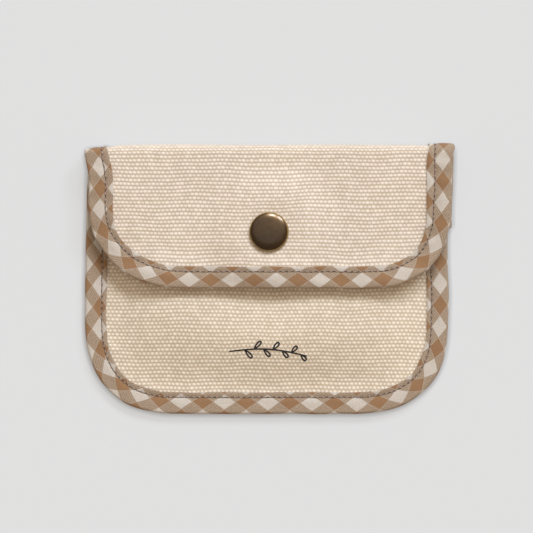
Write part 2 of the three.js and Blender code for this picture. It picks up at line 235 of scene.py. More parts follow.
def pocket_lift(x, y):
    """How far the front panel stands off the seam, with the slight unevenness of stiff cloth."""
    distance = BODY.edge_distance(x, y - BOTTOM)
    rise = smoothstep(distance, LIFT_START, LIFT_START + LIFT_RUN)
    loose = smoothstep(distance, TAPE_WIDTH, LIFT_START + LIFT_RUN)
    calm = smoothstep(np.hypot(x - SNAP_X, y - SNAP_Y), 6, 16)
    wave = FRONT_WAVE * loose * calm * waves(x, y, 3, 34)
    return POCKET_LIFT * rise + wave + pucker(x, y, distance, 7)


def flap_height(x, y):
    """Height of the flap's outer face. x is measured from the flap's own middle."""
    radius = np.hypot(x, y - SNAP_Y)
    bump = 1 - smoothstep(radius, BUMP_FLAT, BUMP_FLAT + BUMP_RUN)
    bump = bump * smoothstep(CREASE_Y - y, 0.5, 10.5)
    droop = smoothstep(np.abs(x), DROOP_START, HALF) * smoothstep(36 - y, 0, 32)
    loose = smoothstep(CREASE_Y - y, 0, 14) * smoothstep(radius, 7, 16)
    dimple = np.exp(-(((radius - CAP_RADIUS - 0.3) / DIMPLE_RUN) ** 2))
    gathers = pucker(x, y, FLAP.edge_distance(x, y - FLAP_EDGE), 8) * smoothstep(CREASE_Y - y, 0, 3)
    height = SPINE_HEIGHT + SNAP_BUMP * bump - SIDE_DROOP * droop + EDGE_LIFT * smoothstep(-y, -9, 2)
    return height + FLAP_WAVE * loose * waves(x, y, 5, 38) - DIMPLE * dimple + gathers


def fold_shift(x):
    """How far the top fold stands past its line."""
    bulge = FOLD_BULGE * (1 - smoothstep(np.abs(x), 46, 53))
    return bulge - FOLD_SAG * smoothstep(-x, 47, HALF) + FOLD_WAVE * waves(x, 0 * x, 9, 45)


def shell(x, s):
    """The outer face of the strip of cloth: up the back, round the two creases and down the flap."""
    x, s = np.broadcast_arrays(np.asarray(x, float), np.asarray(s, float))
    y = BOTTOM + s
    z = np.zeros(s.shape)
    angle = np.clip((s - S_CREASE) / CREASE_RADIUS, 0, math.pi / 2)
    upper = np.clip((s - S_CREASE - ARC - WALL) / CREASE_RADIUS, 0, math.pi / 2)
    wall = np.clip(s - S_CREASE - ARC, 0, WALL)
    on_spine = s > S_CREASE
    y = np.where(on_spine, CREASE_Y + CREASE_RADIUS * (np.sin(angle) - 1 + np.cos(upper)), y)
    z = np.where(on_spine, CREASE_RADIUS * (1 - np.cos(angle)) + wall + CREASE_RADIUS * np.sin(upper), z)
    on_flap = s > S_FLAP
    y = np.where(on_flap, CREASE_Y - (s - S_FLAP), y)
    z = np.where(on_flap, flap_height(x, y), z)
    y = y + fold_shift(x) * np.exp(-(((s - S_MIDDLE) / FOLD_RUN) ** 2))
    lean = FLAP_SHIFT * smoothstep(s, S_MIDDLE, S_FLAP + 8)
    side = np.sign(x)
    wander = SIDE_WAVE * waves(s + 40 * side, 0 * s, 12, 30) * (x / HALF) ** 2 * side
    on_back = smoothstep(s, S_CREASE - 30, S_CREASE - 18) * (1 - smoothstep(s, S_CREASE - 6, S_CREASE))
    below_fold = smoothstep(s, S_FLAP + 1, S_FLAP + 9) * (1 - smoothstep(s, S_END - 14, S_END - 2))
    wander = wander + (DRAWN_BACK * on_back + DRAWN_FLAP * below_fold) * smoothstep(-x, 20, HALF)
    return np.stack([x + lean + wander, y, z], axis=-1)


def shell_at(x, s, depth):
    """A point of the strip, depth below its outer face."""
    step = 0.05
    across = shell(x + step, s) - shell(x - step, s)
    along = shell(x, s + step) - shell(x, s - step)
    return shell(x, s) - unit(np.cross(along, across)) * np.asarray(depth)[..., None]


def front_at(x, y, height):
    """A point of the front panel, height above the seam's datum."""
    return np.stack([x, y, height + pocket_lift(x, y)], axis=-1)


# ---------------- meshes
def new_object(name, points, faces, uvs, material):
    """A mesh object from millimetre points, with one UV map in millimetres of cloth."""
    mesh = bpy.data.meshes.new(name)
    mesh.from_pydata((np.asarray(points) * MM).tolist(), [], faces)
    layer = mesh.uv_layers.new(name="cloth")
    loops = np.zeros(len(mesh.loops), np.int32)
    mesh.loops.foreach_get("vertex_index", loops)
    layer.data.foreach_set("uv", np.asarray(uvs, np.float32)[loops].ravel())
    mesh.polygons.foreach_set("use_smooth", [True] * len(mesh.polygons))
    mesh.materials.append(material)
    mesh.update()
    made = bpy.data.objects.new(name, mesh)
    bpy.context.scene.collection.objects.link(made)
    return made


def sheet_mesh(name, outer, inner, uv, material):
    """A thin closed sheet from two grids of points. Its faces point out of outer and out of inner."""
    rows, columns = outer.shape[:2]
    count = rows * columns
    index = np.arange(count).reshape(rows, columns)
    a, b, c, d = index[:-1, :-1], index[:-1, 1:], index[1:, 1:], index[1:, :-1]
    quads = np.stack([a, b, c, d], axis=-1).reshape(-1, 4)
    rim = np.concatenate([index[0, :], index[1:, -1], index[-1, -2::-1], index[-2:0:-1, 0]])
    after = np.roll(rim, -1)
    sides = np.stack([after, rim, rim + count, after + count], axis=-1)
    faces = np.concatenate([quads, quads[:, ::-1] + count, sides])
    points = np.concatenate([outer.reshape(-1, 3), inner.reshape(-1, 3)])
    uvs = np.concatenate([uv.reshape(-1, 2)] * 2)
    made = new_object(name, points, faces.tolist(), uvs, material)
    turn_out(made)
    made.data.set_sharp_from_angle(angle=math.radians(55))
    return made


def turn_out(made):
    """Turns the faces of a closed mesh outwards."""
    mesh = made.data
    mesh.calc_loop_triangles()
    corners = np.array([t.vertices for t in mesh.loop_triangles])
    points = np.array([v.co for v in mesh.vertices])
    a, b, c = (points[corners[:, i]] for i in range(3))
    if np.einsum("ij,ij->", a, np.cross(b, c)) < 0:
        mesh.flip_normals()


def tube_points(centre, across, up, radius, sides, flatten=1.0):
    """Rings of points round a line. across and up are unit vectors at each point of it."""
    angle = np.linspace(0, 2 * math.pi, sides, endpoint=False)[None, :, None]
    ring = across[:, None] * np.cos(angle) + flatten * up[:, None] * np.sin(angle)
    return centre[:, None] + np.asarray(radius).reshape(-1, 1, 1) * ring


def tube_faces(rings, sides, start):
    """The faces of a tube of rings with closed ends, whose points begin at start."""
    faces = []
    for i in range(rings - 1):
        ring = start + i * sides
        for j in range(sides):
            k = (j + 1) % sides
            faces.append([ring + j, ring + k, ring + sides + k, ring + sides + j])
    faces.append([start + j for j in reversed(range(sides))])
    faces.append([start + (rings - 1) * sides + j for j in range(sides)])
    return faces


# ---------------- materials
class Shader:
    """A material being made: short calls for the nodes that it needs."""

    def __init__(self, name):
        self.material = bpy.data.materials.new(name)
        self.material.use_nodes = True
        self.tree = self.material.node_tree
        self.surface = self.tree.nodes["Principled BSDF"]

    def node(self, kind, inputs=None, **settings):
        made = self.tree.nodes.new(kind)
        for key, value in settings.items():
            setattr(made, key, value)
        for key, value in (inputs or {}).items():
            self.put(made.inputs[key], value)
        return made

    def put(self, socket, value):
        if isinstance(value, bpy.types.NodeSocket):
            self.tree.links.new(value, socket)
        else:
            socket.default_value = value

    def math(self, operation, *values):
        made = self.tree.nodes.new("ShaderNodeMath")
        made.operation = operation
        for socket, value in zip(made.inputs, values):
            self.put(socket, value)
        return made.outputs[0]

    def times(self, first, second):
        return self.math("MULTIPLY", first, second)

    def plus(self, first, second):
        return self.math("ADD", first, second)

    def spread(self, value, reach):
        """A value between 0 and 1 made to vary about zero."""
        return self.times(self.math("SUBTRACT", value, 0.5), reach)

    def weave(self, first, second, pitch):
        """A fine plain weave, between -1 and 1."""
        warp, weft = (self.math("SINE", self.times(v, 2 * math.pi / pitch)) for v in (first, second))
        return self.times(warp, weft)

    def cloth(self):
        """The x and y of the cloth, in millimetres."""
        uv = self.node("ShaderNodeUVMap", uv_map="cloth").outputs["UV"]
        parts = self.node("ShaderNodeSeparateXYZ", {"Vector": uv})
        return parts.outputs["X"], parts.outputs["Y"]

    def vector(self, x, y, z=0.0):
        return self.node("ShaderNodeCombineXYZ", {"X": x, "Y": y, "Z": z}).outputs[0]

    def noise(self, vector, scale, detail=2.0, roughness=0.5):
        inputs = {"Vector": vector, "Scale": scale, "Detail": detail, "Roughness": roughness}
        return self.node("ShaderNodeTexNoise", inputs).outputs[0]

    def random(self, vector):
        made = self.node("ShaderNodeTexWhiteNoise", {"Vector": vector}, noise_dimensions="2D")
        return made.outputs["Value"]

    def remap(self, value, low, high, to_low, to_high, smooth=False):
        inputs = {"Value": value, "From Min": low, "From Max": high, "To Min": to_low, "To Max": to_high}
        kind = "SMOOTHSTEP" if smooth else "LINEAR"
        return self.node("ShaderNodeMapRange", inputs, interpolation_type=kind).outputs[0]

    def mix(self, factor, first, second, blend="MIX"):
        made = self.tree.nodes.new("ShaderNodeMix")
        made.data_type = "RGBA"
        made.blend_type = blend
        self.put(made.inputs["Factor"], factor)
        self.put(made.inputs["A"], first)
        self.put(made.inputs["B"], second)
        return made.outputs["Result"]

    def tint(self, colour, factor):
        """The colour times a number."""
        grey = self.node("ShaderNodeCombineColor", {"Red": factor, "Green": factor, "Blue": factor})
        return self.mix(1.0, colour, grey.outputs[0], "MULTIPLY")

    def bump(self, height_mm):
        return self.node("ShaderNodeBump", {"Height": height_mm, "Distance": MM}).outputs[0]

    def finish(self, colour, roughness, normal=None, **constants):
        self.put(self.surface.inputs["Base Color"], colour)
        self.put(self.surface.inputs["Roughness"], roughness)
        if normal is not None:
            self.put(self.surface.inputs["Normal"], normal)
        for key, value in constants.items():
            self.surface.inputs[key.replace("_", " ")].default_value = value
        return self.material


def srgb(*screen):
    """A colour given as three screen values of 0 to 255."""
    linear = [((v / 255 + 0.055) / 1.055) ** 2.4 if v > 10 else v / 255 / 12.92 for v in screen]
    return (*linear, 1.0)


def canvas_material(name, top, gap_shade, dot_width):
    """Thick plain weave: rows of raised dots, each row half a dot along from the last. The dots are
    painted light and the hollows between them painted shade, on top of the bump.
    """
    m = Shader(name)
    x, y = m.cloth()
    place = m.vector(x, y)
    drift = m.spread(m.noise(place, 0.05, 1.0), 1.8)
    sway = m.spread(m.noise(m.vector(y, x, 7.0), 0.35, 1.0), 0.6)
    row = m.math("DIVIDE", m.plus(y, drift), ROW_PITCH)
    row_index = m.math("FLOOR", row)
    offset = m.times(m.math("FLOORED_MODULO", row_index, 2.0), 0.5)
    column = m.plus(m.math("DIVIDE", m.plus(x, sway), DOT_PITCH), offset)
    cell = m.random(m.vector(m.math("FLOOR", column), row_index))
    from_x = m.spread(m.math("FRACT", column), 2 * dot_width)
    from_y = m.spread(m.math("FRACT", row), 2 * DOT_HEIGHT)
    away = m.math("SQRT", m.plus(m.math("POWER", from_x, 2.0), m.math("POWER", from_y, 2.0)))
    dot = m.remap(away, 0.05, m.remap(cell, 0, 1, 1.0, 1.25), 1.0, 0.0, True)
    fibres = m.noise(m.vector(m.times(x, 2.2), m.times(y, 6.0)), 1.0, 3.0, 0.6)
    height = m.plus(m.times(dot, m.remap(cell, 0, 1, 0.08, 0.13)), m.times(fibres, 0.04))
    # Painted light and shade: the darker gap colour shades the hollows between the dots, the lighter one
    # lights the dots.
    colour = m.mix(m.remap(dot, 0.05, 0.8, 0, 1), gap_shade, top)
    patches = m.noise(place, 0.03, 2.0)
    shade = m.times(m.remap(cell, 0, 1, 0.95, 1.03), m.remap(patches, 0.3, 0.7, 0.975, 1.02))
    shade = m.times(shade, m.remap(fibres, 0.3, 0.7, 0.96, 1.04))
    roughness = m.remap(fibres, 0, 1, 0.82, 0.95)
    return m.finish(m.tint(colour, shade), roughness, m.bump(height),
                    Sheen_Weight=0.15, Sheen_Roughness=0.5)


def lining_material():
    """Thin natural cotton with a fine plain weave."""
    m = Shader("lining_cotton")
    x, y = m.cloth()
    weave = m.weave(x, y, pitch=0.42)
    slub = m.noise(m.vector(m.times(x, 0.25), m.times(y, 2.4)), 1.0, 3.0)
    shade = m.times(m.remap(weave, -1, 1, 0.94, 1.03), m.remap(slub, 0.3, 0.7, 0.95, 1.04))
    height = m.plus(m.times(weave, 0.03), m.times(slub, 0.05))
    return m.finish(m.tint(srgb(222, 209, 188), shade), m.remap(slub, 0, 1, 0.85, 0.95), m.bump(height),
                    Sheen_Weight=0.1)


def gingham_material():
    """Brown and white gingham cut on the bias: the check runs at 45 degrees to the tape."""
    m = Shader("gingham_bias")
    x, y = m.cloth()
    place = m.vector(x, y)
    white = srgb(211, 199, 186)
    drift = m.spread(m.noise(place, 0.12, 1.0), 0.9)
    along = m.times(m.plus(m.plus(x, y), drift), math.sqrt(0.5))
    across = m.times(m.math("SUBTRACT", m.math("SUBTRACT", x, y), drift), math.sqrt(0.5))
    bands, borders = [], []
    for value in (along, across):
        wave = m.math("COSINE", m.times(value, 2 * math.pi / CHECK_REPEAT))
        bands.append(m.remap(wave, -0.06, 0.06, 0, 1, True))
        borders.append(m.remap(m.math("ABSOLUTE", wave), 0.03, 0.16, 1, 0))
    first, second = bands
    both = m.times(first, second)
    either = m.math("MAXIMUM", first, second)
    yarn, hatch_pitch = 0.36, 0.8
    weave = m.weave(along, across, yarn)
    # Where a white band crosses a brown one, their yarns show as a fine hatch.
    hatch_value = m.plus(m.times(first, across), m.times(second, along))
    hatch = m.math("SINE", m.times(hatch_value, 2 * math.pi / hatch_pitch))
    fibre = m.noise(place, 2.4, 3.0, 0.6)
    mixed = m.plus(m.times(hatch, 0.6), m.remap(fibre, 0.3, 0.7, -0.9, 0.9))
    mid = m.mix(m.remap(mixed, -1, 1, 0, 1), srgb(155, 131, 106), srgb(181, 159, 137))
    colour = m.mix(either, srgb(155, 117, 82), mid)
    colour = m.mix(both, colour, white)
    colour = m.mix(m.times(m.math("MAXIMUM", *borders), 0.3), colour, white)
    shade = m.times(m.remap(weave, -1, 1, 0.94, 1.05), m.remap(fibre, 0.3, 0.7, 0.8, 1.14))
    shade = m.times(shade, m.remap(hatch, -1, 1, 0.97, 1.03))
    height = m.plus(m.times(weave, 0.02), m.times(fibre, 0.05))
    roughness = m.remap(fibre, 0, 1, 0.85, 0.95)
    return m.finish(m.tint(colour, shade), roughness, m.bump(height), Sheen_Weight=0.12)


def thread_material(name, colour, roughness=0.6):
    """Twisted thread, with painted shade darkening it where it dives into the cloth. x runs from -1 to 1
    along a stitch, and y round it.
    """
    m = Shader(name)
    x, y = m.cloth()
    twist = m.math("SINE", m.plus(m.times(x, 8.0), y))
    # Painted shade: the ends of each stitch are darkened where the thread goes down into its hole.
    hole_shade = m.remap(m.math("ABSOLUTE", x), 0.45, 0.64, 1.0, 0.13, True)
    shade = m.times(m.remap(twist, -1, 1, 0.8, 1.15), hole_shade)
    return m.finish(m.tint(colour, shade), m.remap(twist, -1, 1, roughness, roughness + 0.15),
                    m.bump(m.times(twist, 0.04)), Sheen_Weight=0.1)


def brass_material(name, dark, worn, coat=0.0):
    """Antiqued brass: a dark mottled tarnish, rubbed bright where y is high, with painted light towards
    the snap's upper right and painted shade towards its lower left.
    """
    m = Shader(name)
    _, wear = m.cloth()
    place = m.node("ShaderNodeTexCoord").outputs["Object"]
    mottle = m.noise(place, 900.0, 4.0, 0.6)
    fine = m.noise(place, 5200.0, 3.0, 0.7)
    worn_share = m.remap(m.plus(wear, m.spread(mottle, 0.9)), 0.2, 0.75, 0, 1)
    # Painted light and shade: the colour is made lighter towards the snap's upper right and darker
    # towards its lower left.
    parts = m.node("ShaderNodeSeparateXYZ", {"Vector": place}).outputs
    slant = m.plus(m.math("SUBTRACT", parts["Y"], SNAP_Y * MM), m.times(parts["X"], 0.5))
    painted_light_slant = m.remap(slant, -CAP_RADIUS * MM, CAP_RADIUS * MM, 0.62, 1.3)
    shade = m.times(m.remap(mottle, 0.25, 0.75, 0.8, 1.2), painted_light_slant)
    colour = m.tint(m.mix(worn_share, dark, worn), shade)
    roughness = m.plus(m.remap(fine, 0.3, 0.7, 0.24, 0.32), m.times(mottle, 0.08))
    height = m.plus(m.times(fine, 0.008), m.times(mottle, 0.015))
    return m.finish(colour, roughness, m.bump(height),
                    Metallic=1.0, Coat_Weight=coat, Coat_Roughness=0.14)


# The second colour of each canvas is painted shade for the hollows of its weave.
CANVAS_MATERIAL = canvas_material("canvas_weave", srgb(249, 236, 218), srgb(209, 187, 160), 0.9)
FLAP_CANVAS_MATERIAL = canvas_material(
    "flap_canvas_weave", srgb(244, 230, 215), srgb(204, 183, 159), 0.74)
LINING_MATERIAL = lining_material()
GINGHAM = gingham_material()
SEAM_THREAD = thread_material("seam_thread", srgb(158, 136, 122))
CANVAS_THREAD = thread_material("canvas_thread", srgb(214, 198, 172), 0.7)
INK = thread_material("black_thread", srgb(34, 32, 36), 0.7)
BRASS = brass_material("antique_brass", srgb(84, 65, 43), srgb(172, 146, 84), coat=0.7)
BRASS_INSIDE = brass_material("brass_inside", srgb(120, 98, 66), srgb(190, 165, 112))
WIRE = brass_material("spring_wire", srgb(170, 160, 140), srgb(205, 196, 175))


# ---------------- cloth panels
def panel_grid(end, high):
    """A grid of x and distance in from the end of the strip, inside the binding."""
    distance = even(CLOTH_INSET, high, CLOTH_STEP)
    left, right = end.sides(distance, CLOTH_INSET)
    share = even(0, 1, CLOTH_STEP / (2 * HALF))
    x = left[:, None] + (right - left)[:, None] * share
    return x, np.broadcast_to(distance[:, None], x.shape)


def shell_panel(name, end, depth, thickness, material):
    """A layer of the strip from the middle of the spine to one end, inside the binding."""
    length = S_MIDDLE if end is BODY else S_END - S_MIDDLE
    x, distance = panel_grid(end, length)
    s = distance if end is BODY else S_END - distance
    uv = np.stack([x, s], axis=-1)
    outer = shell_at(x, s, depth)
    inner = shell_at(x, s, depth + thickness)
    return sheet_mesh(name, outer, inner, uv, material), uv


def front_grid(y_top):
    """A grid of places on the front panel up to y_top."""
    x, distance = panel_grid(BODY, y_top - BOTTOM)
    return x, BOTTOM + distance


def front_canvas():
    """The front panel, with the mouth's edge turned to the inside as a hem."""
    x, y = front_grid(MOUTH - CANVAS)
    outer = front_at(x, y, FRONT_CANVAS_Z + CANVAS)
    inner = front_at(x, y, FRONT_CANVAS_Z)
    top_x = x[-1][None, :]
    turn = np.linspace(0, math.pi, 9)[1:, None]
    turn_x = top_x + 0 * turn
    turn_y = np.full(turn_x.shape, MOUTH - CANVAS)
    lift = pocket_lift(turn_x, turn_y)
    round_z = FRONT_CANVAS_Z + CANVAS * np.cos(turn) + lift
    turn_outer = np.stack([turn_x, turn_y + CANVAS * np.sin(turn), round_z], axis=-1)
    turn_inner = np.stack([turn_x, turn_y, FRONT_CANVAS_Z - 0.02 * turn + lift], axis=-1)
    hem_y = even(MOUTH - CANVAS, MOUTH - HEM, CLOTH_STEP)[1:, None] + 0 * top_x
    hem_x = top_x + 0 * hem_y
    hem_outer = front_at(hem_x, hem_y, FRONT_CANVAS_Z - CANVAS)
    hem_inner = front_at(hem_x, hem_y, FRONT_CANVAS_Z - 0.06)
    # Laid flat, the cloth runs on up over the turn and along the hem.
    turned = MOUTH - CANVAS + CANVAS * turn[:, 0]
    run = np.concatenate([y[:, 0], turned, MOUTH + 1.7 + (MOUTH - hem_y[:, 0])])
    all_x = np.concatenate([x, turn_x, hem_x])
    uv = np.stack([all_x, np.broadcast_to(run[:, None], all_x.shape)], axis=-1)
    outer = np.concatenate([outer, turn_outer, hem_outer])
    inner = np.concatenate([inner, turn_inner, hem_inner])
    return sheet_mesh("front_canvas", outer, inner, uv, CANVAS_MATERIAL), uv


def front_lining():
    x, y = front_grid(MOUTH - HEM + 2)
    low = FRONT_CANVAS_Z - 0.05 - LINING
    uv = np.stack([x, y], axis=-1)
    under_hem = 0.85 * smoothstep(y, MOUTH - HEM - 3, MOUTH - HEM)
    upper = front_at(x, y, low + LINING - under_hem)
    lower = front_at(x, y, low - under_hem)
    return sheet_mesh("front_lining_cloth", upper, lower, uv, LINING_MATERIAL), uv


# ---------------- binding
class Tape:
    """A binding tape folded over the edge of one end of the strip, from the spine round to the spine."""

    def __init__(self, end, side_width, seed):
        self.end = end
        self.seed = seed
        self.shown = 1 if end is BODY else 0
        length = S_MIDDLE if end is BODY else S_END - S_MIDDLE
        line = end.outline(length)
        tangent = unit(np.gradient(line, axis=0))
        inwards = np.stack([-tangent[:, 1], tangent[:, 0]], axis=-1)
        middle = line + inwards * TAPE_WIDTH / 2
        run = np.concatenate([[0], np.cumsum(np.linalg.norm(np.diff(middle, axis=0), axis=1))])
        run -= run[np.argmin(np.hypot(middle[:, 0], middle[:, 1] - TAPE_WIDTH / 2))]
        self.run = even(run[0], run[-1], TAPE_STEP)
        columns = (*line.T, *inwards.T)
        self.line = np.stack([np.interp(self.run, run, c) for c in columns], axis=-1)
        on_side = smoothstep(np.abs(self.run), 50, 72) * (1 - smoothstep(np.abs(self.run), 80, 92))
        self.width = TAPE_WIDTH + side_width * on_side + 0.12 * waves(self.run, 0 * self.run, seed, 14)
        if end is BODY:
            y = BOTTOM + self.line[:, 1]
            past_mouth = smoothstep(y, MOUTH - 0.5, MOUTH + 4)
            self.total = SEAM_THICKNESS + (SHELL_THICKNESS - SEAM_THICKNESS) * past_mouth
            lap = smoothstep(y, LAP_Y, LAP_Y + 0.8)
            self.outset = (LAP_OUT + (LAP_OUT_TOP - LAP_OUT) * smoothstep(y, LAP_Y, TOP)) * lap
        else:
            self.total = np.full(len(self.run), SHELL_THICKNESS)
            fold = length - WALL / 2
            self.outset = LAP_OUT_TOP * smoothstep(self.line[:, 1], fold - ARC - 4, fold)
        uneven = 0.08 * waves(self.run, 0 * self.run, seed + 2, 9)
        self.outset = self.outset * (self.line[:, 0] > 0) + uneven

    def at(self, run):
        """The values that the path has at other places along it."""
        columns = (*self.line.T, self.width, self.total, self.outset)
        return np.stack([np.interp(run, self.run, c) for c in columns], axis=-1)

    def place(self, columns, inset, depth):
        """A point at an inset from the edge and a depth below the strip's outer face."""
        if np.ndim(inset) > 1:
            columns = columns[:, None]
        x, distance, in_x, in_distance, _, _, outset = (columns[..., i] for i in range(7))
        # Where the tape stands out at its lapped end, its inner edge stays nearer to its line.
        inset = inset - outset * (1 - LAP_KEPT * inset / TAPE_WIDTH)
        away = distance + in_distance * inset
        s = away if self.end is BODY else S_END - away
        return shell_at(x + in_x * inset, s, depth)

    def relief(self, inset, run, width, inner):
        """How far the tape stands proud: crowned, puckered, and pulled down along the stitches."""
        crown = 0.13 * np.sin(np.clip((inset - 0.4) / (STITCH_INSET - 0.4), 0, 1) * math.pi) ** 0.8
        lip = 0.16 * smoothstep(inset, STITCH_INSET, width - 0.35)
        groove = np.exp(-(((inset - STITCH_INSET) / 0.5) ** 2))
        hole = 0.5 + 0.5 * np.cos(2 * math.pi * (run - self.run[0]) / STITCH_PITCH)
        gather = 0.1 * waves(run, inset, self.seed + inner, 5.0) * smoothstep(inset, 0.5, 4)
        share = 1.0 if inner == self.shown else 0.6
        return share * (crown + lip + gather) - groove * (0.1 + 0.16 * hole)

    def mesh(self, name, start, repeat, row, slack):
        """The tape. Its check repeats along it from start, less slack(run), with a row at row(run)."""
        columns = self.at(self.run)
        width, radius = self.width[:, None], self.total[:, None] / 2
        bend = 0.65
        lip_share = 0.45
        leg = bend + (width - bend) * np.linspace(1, 0, 15)
        angle = np.linspace(-1, 1, 13)[None, 1:-1] * math.pi / 2
        run = self.run[:, None]
        faces = []
        for thickness in (0.0, TAPE):
            share = 1.0 if thickness == 0 else 0.85
            outer_leg = self.place(columns, leg, thickness - share * self.relief(leg, run, width, 0))
            turn = self.place(columns, bend - (bend - thickness) * np.cos(angle) + 0 * radius,
                              radius + (radius - thickness) * np.sin(angle))
            under = leg[:, ::-1]
            raised = 2 * radius - thickness + share * self.relief(under, run, width, 1)
            inner_leg = self.place(columns, under, raised)
            faces.append(np.concatenate([outer_leg, turn, inner_leg], axis=1))
        outer, inner = faces
        # The raw edges are turned under, so both legs end in a rounded lip.
        for column in (0, -1):
            middle = (outer[:, column] + inner[:, column]) / 2
            outer[:, column] = middle + (outer[:, column] - middle) * lip_share
            inner[:, column] = middle + (inner[:, column] - middle) * lip_share
        quarter = math.pi / 2 * np.sqrt((bend**2 + radius**2) / 2)
        turned = bend - quarter * (1 + angle / (math.pi / 2))
        across = np.concatenate([leg, turned, 2 * (bend - quarter) - leg[:, ::-1]], axis=1)
        laid = np.stack(np.broadcast_arrays(run, across), axis=-1)
        across = 2 * (bend - quarter) - across if self.shown else across
        along = (run - start - slack(run)) * CHECK_REPEAT * math.sqrt(2) / repeat
        check = np.stack(np.broadcast_arrays(along, (across - row(run)) * CHECK_STRETCH), axis=-1)
        return sheet_mesh(name, outer, inner, check, GINGHAM), laid


# ---------------- stitches
def stitch_mesh(name, lines, material, radius=THREAD_RADIUS, sides=7, flatten=1.0):
    """One mesh of separate stitches. A line is its points and the unit vectors up out of the cloth."""
    points, faces, uvs = [], [], []
    for centre, up in lines:
        tangent = unit(np.gradient(centre, axis=0))
        across = unit(np.cross(tangent, up))
        share = np.linspace(0, 1, len(centre))
        width = radius * (0.7 + 0.3 * np.sin(share * math.pi) ** 0.5)
        rings = tube_points(centre, across, np.cross(across, tangent), width, sides, flatten)
        faces += tube_faces(len(centre), sides, len(points) * len(centre) * sides)
        points.append(rings.reshape(-1, 3))
        around = np.linspace(0, 2 * math.pi, sides, endpoint=False)
        uvs.append(np.stack(np.meshgrid(2 * share - 1, around, indexing="ij"), axis=-1).reshape(-1, 2))
    return new_object(name, np.concatenate(points), faces, np.concatenate(uvs), material)


def stitch_lines(place, low, high, pitch=STITCH_PITCH, shown=STITCH_SHOWN, seed=11):
    """The stitches of a seam. place(run, sink, skew) gives its points, sink below the cloth's face."""
    draw = np.random.default_rng(seed)
    lines = []
    for start in np.arange(low + pitch / 2, high - pitch / 2, pitch):
        length = shown * draw.uniform(0.88, 1.12)
        skew = draw.uniform(-0.13, 0.13)
        share = np.linspace(-1, 1, 9)
        run = start + share * length / 2
        sink = 0.12 * np.abs(share) ** 4 - 0.1
        centre = place(run, sink, skew * share)
        up = place(run, sink - 0.5, skew * share) - centre
        lines.append((centre, unit(up)))
    return lines


def seam_stitches(name, tape):
    """The row of stitches through a tape, as it shows on its outer leg and on its inner one."""
    lines = []
    for inner in (0, 1):
        def place(run, sink, skew):
            columns = tape.at(run)
            relief = tape.relief(STITCH_INSET, run, columns[:, 4], inner)
            depth = columns[:, 5] - sink + relief if inner else sink - relief
            return tape.place(columns, STITCH_INSET + skew, depth)

        lines += stitch_lines(place, tape.run[0], tape.run[-1], seed=tape.seed + inner)
    return stitch_mesh(name, lines, SEAM_THREAD)


def mouth_stitches():
    """The row that holds the hem of the pocket's mouth."""
    half = HALF - TAPE_WIDTH - 0.5

    def place(run, sink, skew):
        y = np.full(run.shape, MOUTH - MOUTH_STITCH_INSET) + skew
        return front_at(run, y, FRONT_CANVAS_Z + CANVAS + 0.06 - sink)

    lines = stitch_lines(place, -half, half, pitch=2.6, shown=1.9, seed=31)
    return stitch_mesh("mouth_stitches", lines, CANVAS_THREAD, radius=0.2)


# ---------------- the sprig
def sprig():
    """A small generic sprig, worked in black thread: a bent stem with a leaf at each step."""
    left, right = -12, 13
    stem_x = np.linspace(left, right, 60)
    arch = 1.5 * np.sin((stem_x - left) / (right - left) * math.pi)
    stem_y = BOTTOM + 19.6 + arch - 0.06 * stem_x

    def on_cloth(x, y):
        centre = front_at(x, y, FRONT_CANVAS_Z + CANVAS + 0.02)
        return centre, np.broadcast_to([0.0, 0.0, 1.0], centre.shape)

    lines = [on_cloth(stem_x, stem_y)]
    for i, x in enumerate(np.linspace(-7, 11, 7)):
        y = np.interp(x, stem_x, stem_y)
        side = 1 if i % 2 else -1
        angle = side * math.radians(48)
        t = np.linspace(0, 1, 60)
        length = 3.4 - 0.16 * i
        leaf = 0.5 * np.sin(2 * math.pi * t)
        away = length * np.sin(math.pi * t)
        lines.append(on_cloth(
            x + away * math.cos(angle) - leaf * math.sin(angle),
            y + away * math.sin(angle) + leaf * math.cos(angle),
        ))
    return stitch_mesh("sprig_mark", lines, INK, radius=0.29, sides=6, flatten=0.4)


# ---------------- snap
def lathe(name, profile, centre_z, material, wear, segments=72, lean=(0.0, 0.0)):
    """A turned piece from [radius, height] pairs. wear says how rubbed the profile is, all over or at
    each point, and lean how far the axis moves in x and y with each millimetre of height."""
    run = np.concatenate([[0], np.cumsum(np.linalg.norm(np.diff(profile, axis=0), axis=1))])
    fine = np.unique(np.concatenate([run, np.linspace(0, run[-1], 3 * len(run))]))
    columns = (*profile.T, np.broadcast_to(wear, run.shape))
    radius, height, worn = (np.interp(fine, run, c) for c in columns)
    angle = np.linspace(0, 2 * math.pi, segments, endpoint=False)
    points, uvs, rings = [], [], []
    for r, z, w in zip(radius, height, worn):
        spots = [(r * math.cos(a), r * math.sin(a)) for a in angle] if r > 1e-6 else [(0.0, 0.0)]
        rings.append(list(range(len(points), len(points) + len(spots))))
        points += [(SNAP_X + x + lean[0] * z, SNAP_Y + y + lean[1] * z, centre_z + z) for x, y in spots]
        uvs += [(r, w)] * len(spots)
    if np.allclose(profile[0], profile[-1]):
        # The last ring is the first again.
        rings[-1] = rings[0]
        del points[-segments:], uvs[-segments:]
    faces = []
    for first, second in zip(rings, rings[1:]):
        for j in range(segments):
            k = (j + 1) % segments
            ring_corners = ((first, j), (first, k), (second, k), (second, j))
            corner = list(dict.fromkeys(ring[i % len(ring)] for ring, i in ring_corners))
            if len(corner) > 2:
                faces.append(corner)
    made = new_object(name, points, faces, uvs, material)
    turn_out(made)
    return made


